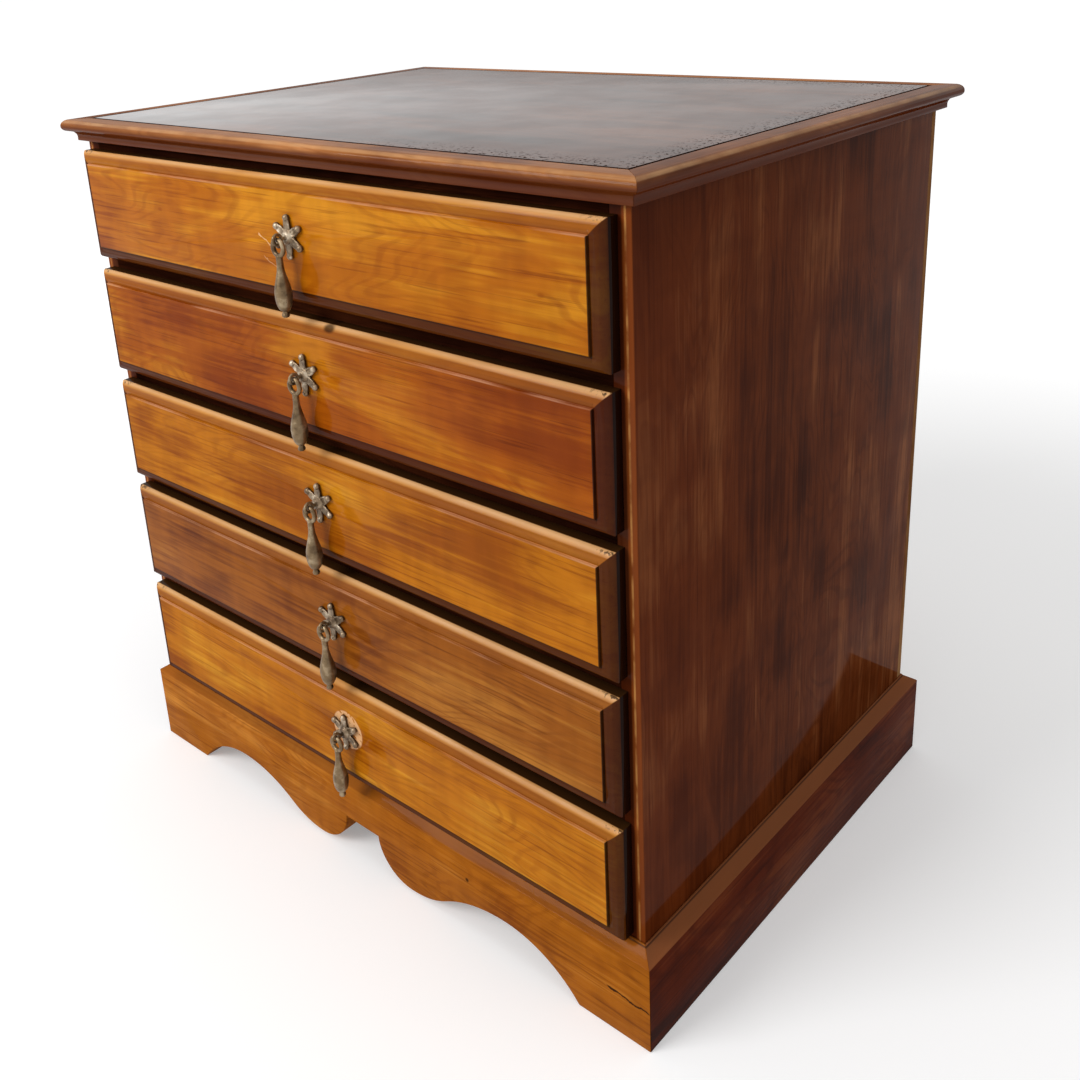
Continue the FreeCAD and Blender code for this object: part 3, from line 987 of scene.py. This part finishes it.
# The drop: a ring, a slender neck that swells to a pear, and a small button.
def model_drop():
    hinge = hinges[1]
    length = (hinge.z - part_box("drawer_1_drop")[0].z) / millimetre
    pear = turned(hinge, drop_outline(length))
    loop = ring(hinge - spot(0, 0, ring_size), ring_size, ring_wire, facing_front)
    return melt([pear, loop], drop_grain, rounds=2)


# A handle part is modelled once, on the top drawer. Every drawer gets a copy with its own mesh, and the
# part it was copied from is then taken away.
def fit_to_drawers(pattern, name, part, body, metal):
    for number in drawer_numbers:
        piece = pattern.copy()
        piece.data = pattern.data.copy()
        bpy.context.scene.collection.objects.link(piece)
        piece.location = hinges[number] - hinges[1]
        settle(
            piece, f"{name}_{number}", metal, f"{body}_{number}",
            [f"drawer_{number}_{part}"],
        )
    bpy.data.objects.remove(pattern)


# Evenly spaced places for nails between two ends of a board, the first and last kept in from them.
def nail_row(start, end):
    length = end - start - 2 * nail_inset
    return [start + nail_inset + length * step / (nails_along - 1) for step in range(nails_along)]


# Nails that hold the back board: flat heads with a rounded rim, all round its edge.
def make_nails(metal):
    low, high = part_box("case_back")
    across = nail_row(low.x, high.x)
    upward = nail_row(low.z, high.z)
    places = [(x, z) for x in across for z in (upward[0], upward[-1])]
    places += [(x, z) for x in (across[0], across[-1]) for z in upward[1:-1]]
    heads = []
    for x, z in places:
        bpy.ops.object.select_all(action="DESELECT")
        bpy.ops.mesh.primitive_cylinder_add(
            vertices=nail_steps, radius=nail_size, depth=nail_height,
            location=(x, high.y + nail_rise, z), rotation=facing_front,
        )
        heads.append(bpy.context.object)
    nails = join(heads)
    apply_modifier(nails, "BEVEL", width=nail_rounding, segments=2, limit_method="ANGLE")
    smooth(nails, sharp_angle)
    settle(nails, "back_board_nails", metal, "case")


# Woods. Each gives its dark, middle and pale shades.
golden = (tone(134, 60, 6), tone(176, 98, 12), tone(206, 134, 26))
tawny = (tone(124, 52, 5), tone(156, 78, 9), tone(186, 112, 20))
honey = (tone(142, 72, 8), tone(182, 108, 16), tone(210, 144, 36))
brown_amber = (tone(106, 50, 12), tone(150, 84, 22), tone(180, 114, 40))
plinth_amber = (tone(124, 60, 6), tone(166, 95, 20), tone(194, 124, 44))
mahogany = (tone(56, 16, 4), tone(90, 32, 8), tone(118, 56, 24))
walnut = (tone(68, 28, 10), tone(101, 47, 19), tone(138, 80, 44))
table_top = (tone(52, 26, 14), tone(80, 45, 28), tone(108, 66, 43))
nose_amber = (tone(110, 56, 22), tone(156, 96, 48), tone(184, 122, 72))
nose_brown = (tone(78, 36, 14), tone(112, 62, 32), tone(146, 92, 58))
# The wood between the drawers is painted nearly black: painted shade for the gaps between the drawers.
shade_darkened = (tone(24, 9, 4), tone(44, 18, 8), tone(66, 30, 14))
lining = (tone(150, 104, 62), tone(186, 140, 90), tone(210, 168, 118))
raw_back = (tone(112, 72, 42), tone(148, 104, 66), tone(174, 132, 90))

# Metals, dark, middle and pale: the rosettes are rubbed brighter than the drops. The iron's two shades
# have their places on the rust.
rubbed_brass = (tone(84, 66, 48), tone(134, 114, 90), tone(214, 198, 174))
dull_brass = (tone(84, 65, 42), tone(118, 97, 69), tone(158, 139, 110))

rusted_iron = [(0.35, tone(46, 40, 38)), (0.65, tone(110, 66, 42))]

# Single shades
white = (1.0, 1.0, 1.0, 1.0)
floor_grey = (0.8, 0.8, 0.8, 1.0)
dark_stain = tone(26, 9, 4)
dark_brown = tone(58, 20, 6)
dark_amber = tone(112, 56, 18)
upper_brown = tone(140, 80, 30)
pale_brown = tone(206, 146, 80)
peach = tone(236, 190, 138)
bevel_brown = tone(140, 84, 48)
patina = tone(44, 35, 22)

# Shades that follow one another: across the ripple of the grain, and down a front moulding's upper run
# from its outer edge to its crease. That run is painted lighter, as the side the light falls on, and is
# palest at its outer edge, as a painted highlight that is partly wear.
curl_run = [(0.3, (0.78, 0.76, 0.74, 1.0)), (0.7, white)]
upper_run = [
    (0.0, pale_brown), (0.22, pale_brown), (0.4, upper_brown), (0.8, upper_brown), (0.97, dark_amber)
]
upper_cover = 0.65

# Stains, wear, patina and painted light and shade: how far each covers what is under it, and its shade
# Painted shade, partly dark polish, on three sides of a drawer moulding
three_sides_painted_shade_and_polish = (0.9, dark_brown)
# A dark line: the split in the plinth, the grooves round the top, and painted shade in a drawer
# moulding's crease
dark_line_and_painted_crease_shade = (0.9, dark_stain)
# A painted highlight beside the upper crease of a drawer moulding
pale_crease_painted_highlight = (0.45, tone(214, 158, 122))
# Painted shade on the faces of a drawer front that lie back in the gaps
gap_face_painted_shade = (0.95, dark_stain)
# A rubbed line along a drawer front's upper edge, partly a painted highlight
rubbed_edge_and_painted_highlight = (0.55, peach)
chip_stain = (0.85, dark_stain)
dent_stain = (0.8, dark_stain)
fitting_stain = (0.8, tone(234, 184, 134))
red_stain = (0.35, tone(104, 42, 12))
blotch_stain = (0.16, dark_brown)
inner_stile_darkening = (0.7, dark_brown)
outer_stile_stain = (0.8, tone(128, 62, 22))
bead_pale_line = (0.6, pale_brown)
speck_stain = (0.9, dark_stain)
# Painted shade in the cove under the nose
cove_painted_shade = (0.85, tone(88, 36, 11))
# A rubbed line along the nose, partly a painted highlight
rubbed_brow_and_painted_highlight = (0.3, peach)
seam_stain = (0.7, dark_stain)
front_bevel_tone = (0.6, tone(150, 84, 28))
back_bevel_tone = (0.6, bevel_brown)
side_bevel_tone = (0.75, bevel_brown)
pit_stain = (0.4, patina)
# Patina near a plate's back, and painted shade in its hollows
hollow_patina_and_painted_shade = (0.85, patina)

# Marks on the drawer fronts, by drawer: millimetres across from the middle and up from the lower edge.
# A scratch also has its strength, and an older fitting its own place.
knots = {1: [(-127, 42), (180, 33)]}
scratches = {1: [((-28, 38), (-17, 31.5), 0.6), ((-25, 25.5), (-15, 20), 0.3)]}
dents = {2: [(22, 70)]}
older_fittings = {5: (1.5, 41)}

# Marks on the plinth's front board, counted in the same way
foot_split = [(203.5, 28.5), (230.0, 26.5)]
foot_dent = (96.8, 40.4)

drawer_shades = {1: golden, 2: tawny, 3: honey, 4: brown_amber, 5: honey}

# Where each handle hangs
hinges = {
    number: Vector(joint["pos_m"])
    for number in drawer_numbers
    for joint in frame["joints"]
    if joint["name"] == f"handle_{number}_swing"
}

# The finishes
brass = aged_brass("aged cast brass", dull_brass)
rosette_brass = aged_brass("rubbed cast brass", rubbed_brass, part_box("drawer_1_rosette")[1].y)
iron = old_iron()
side_wood = side_board_wood()
top_wood = panel_wood()
nose_front = nose_moulding_wood("polished moulding wood, front", "level", nose_amber)
nose_side = nose_moulding_wood("polished moulding wood, side", "deep", nose_brown)
inside_wood = plain_wood(
    "stained wood between the drawers", "level", (0.1, 0.3, 0.4), shade_darkened, inside_sheen, no_shine
)
plinth_front_wood = plinth_wood(
    "amber polished plinth wood", "level", plinth_amber, front_bevel_tone, foot_marks
)
plinth_back_wood = plinth_wood("brown polished plinth wood", "level", walnut, back_bevel_tone)
plinth_side_wood = plinth_wood("dark polished plinth wood", "deep", mahogany, side_bevel_tone)
lining_wood = plain_wood(
    "unpolished drawer wood", "deep", (0.2, 0.2, 0.9), lining, bare_sheen, no_shine
)
lining_level = plain_wood(
    "unpolished drawer back wood", "level", (0.4, 0, 0.9), lining, bare_sheen, no_shine
)
back_wood = plain_wood(
    "unpolished back wood", "upright", (0.9, 0, 0.3), raw_back, bare_sheen, no_shine
)

# The case, its top and its plinth
for side in ("left", "right"):
    eased_board(f"case_side_{side}", outside_easing, side_wood, "case")
    eased_board(f"top_moulding_{side}", fine_easing, nose_side, "case")
    eased_board(f"plinth_{side}", outside_easing, plinth_side_wood, "case")
for side, plinth_board_wood in (("front", plinth_front_wood), ("back", plinth_back_wood)):
    eased_board(f"top_moulding_{side}", fine_easing, nose_front, "case")
    eased_board(f"plinth_{side}", outside_easing, plinth_board_wood, "case")
eased_board("top_panel", fine_easing, top_wood, "case")
eased_board("case_top", fine_easing, inside_wood, "case")
eased_board("case_bottom", fine_easing, inside_wood, "case")
eased_board("case_back", inside_easing, back_wood, "case")
eased_board("plinth_glue_blocks", block_easing, back_wood, "case")
for number in drawer_numbers[:-1]:
    eased_board(f"divider_{number}", fine_easing, inside_wood, "case")
make_nails(iron)

# The drawers and their handles
for number in drawer_numbers:
    body = f"drawer_{number}"
    wood = front_wood(number, drawer_shades[number])
    eased_board(f"{body}_front", outside_easing, wood, body)
    for side in ("left", "right"):
        eased_board(f"{body}_side_{side}", inside_easing, lining_wood, body)
    eased_board(f"{body}_back", inside_easing, lining_level, body)
    eased_board(f"{body}_bottom", fine_easing, lining_level, body)
fit_to_drawers(model_rosette(), "cast_rosette", "rosette", "drawer", rosette_brass)
fit_to_drawers(model_pin(), "split_pin", "pin", "drawer", brass)
fit_to_drawers(model_drop(), "pear_drop", "drop", "handle", brass)


# 1 for what the camera sees itself or in a polished face, and 0 for what only gives light.
def seen_or_mirrored(tree):
    path = tree.nodes.new("ShaderNodeLightPath")
    return calc(tree, "MAXIMUM", path.outputs["Is Camera Ray"], path.outputs["Is Glossy Ray"])


# The stage: a pale floor that keeps the shadow, a white surround and soft lamps.
def make_floor():
    bpy.ops.object.select_all(action="DESELECT")
    bpy.ops.mesh.primitive_plane_add(size=floor_size, location=(0, 0, -floor_gap))
    floor = bpy.context.object
    floor.name = "pale floor"
    material, tree = new_material("pale floor")
    away = vector_work(tree, "LENGTH", object_place(tree)).outputs["Value"]
    paling = rise(tree, away, glow_start, glow_end, glow_near, glow_far)
    strength = times(tree, seen_or_mirrored(tree), paling)
    matt = put(tree, "ShaderNodeBsdfDiffuse", Color=floor_grey)
    glow = put(tree, "ShaderNodeEmission", Color=white, Strength=strength)
    both = tree.nodes.new("ShaderNodeAddShader")
    fill(tree, both, "0", matt.outputs[0])
    fill(tree, both, "1", glow.outputs[0])
    put(tree, "ShaderNodeOutputMaterial", Surface=both.outputs[0])
    floor.data.materials.append(material)


def make_surround():
    world = bpy.data.worlds.new("white surround")
    bpy.context.scene.world = world
    world.use_nodes = True
    tree = world.node_tree
    tree.nodes.clear()
    strength = rise(tree, seen_or_mirrored(tree), 0.0, 1.0, surround_light, surround_seen)
    glow = put(tree, "ShaderNodeBackground", Color=white, Strength=strength)
    put(tree, "ShaderNodeOutputWorld", Surface=glow.outputs[0])


def make_lamp(name, place, size, power):
    lamp = bpy.data.lights.new(name, "AREA")
    lamp.energy = power
    lamp.size = size
    holder = bpy.data.objects.new(name, lamp)
    bpy.context.scene.collection.objects.link(holder)
    holder.location = place
    aim = Vector(lamp_target) - Vector(place)
    holder.rotation_mode = "QUATERNION"
    holder.rotation_quaternion = aim.to_track_quat("-Z", "Y")


# The camera stands where the photograph was taken from, found from the cabinet's front right corner.
def make_camera():
    low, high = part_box("case_side_right")
    corner = Vector((high.x, low.y, 0))
    level = Vector((math.cos(camera_yaw), math.sin(camera_yaw), 0))
    onward = Vector((-math.sin(camera_yaw), math.cos(camera_yaw), 0))
    ahead = math.cos(camera_pitch) * onward - math.sin(camera_pitch) * Vector((0, 0, 1))
    upright = level.cross(ahead)
    right = math.cos(camera_roll) * level + math.sin(camera_roll) * upright
    up = math.cos(camera_roll) * upright - math.sin(camera_roll) * level
    lens = bpy.data.cameras.new("photograph's view")
    lens.lens = lens_length
    lens.sensor_width = sensor_width
    lens.shift_x, lens.shift_y = picture_shift
    camera = bpy.data.objects.new("photograph's view", lens)
    bpy.context.scene.collection.objects.link(camera)
    turned_axes = Matrix((right, up, -ahead)).transposed().to_4x4()
    camera.matrix_world = Matrix.Translation(corner + spot(*camera_offset)) @ turned_axes
    bpy.context.scene.camera = camera


# The stage and the view
make_floor()
make_surround()
for name, (place, size, power) in lamps.items():
    make_lamp(name, place, size, power)
make_camera()
bpy.context.scene.view_settings.view_transform = "Standard"
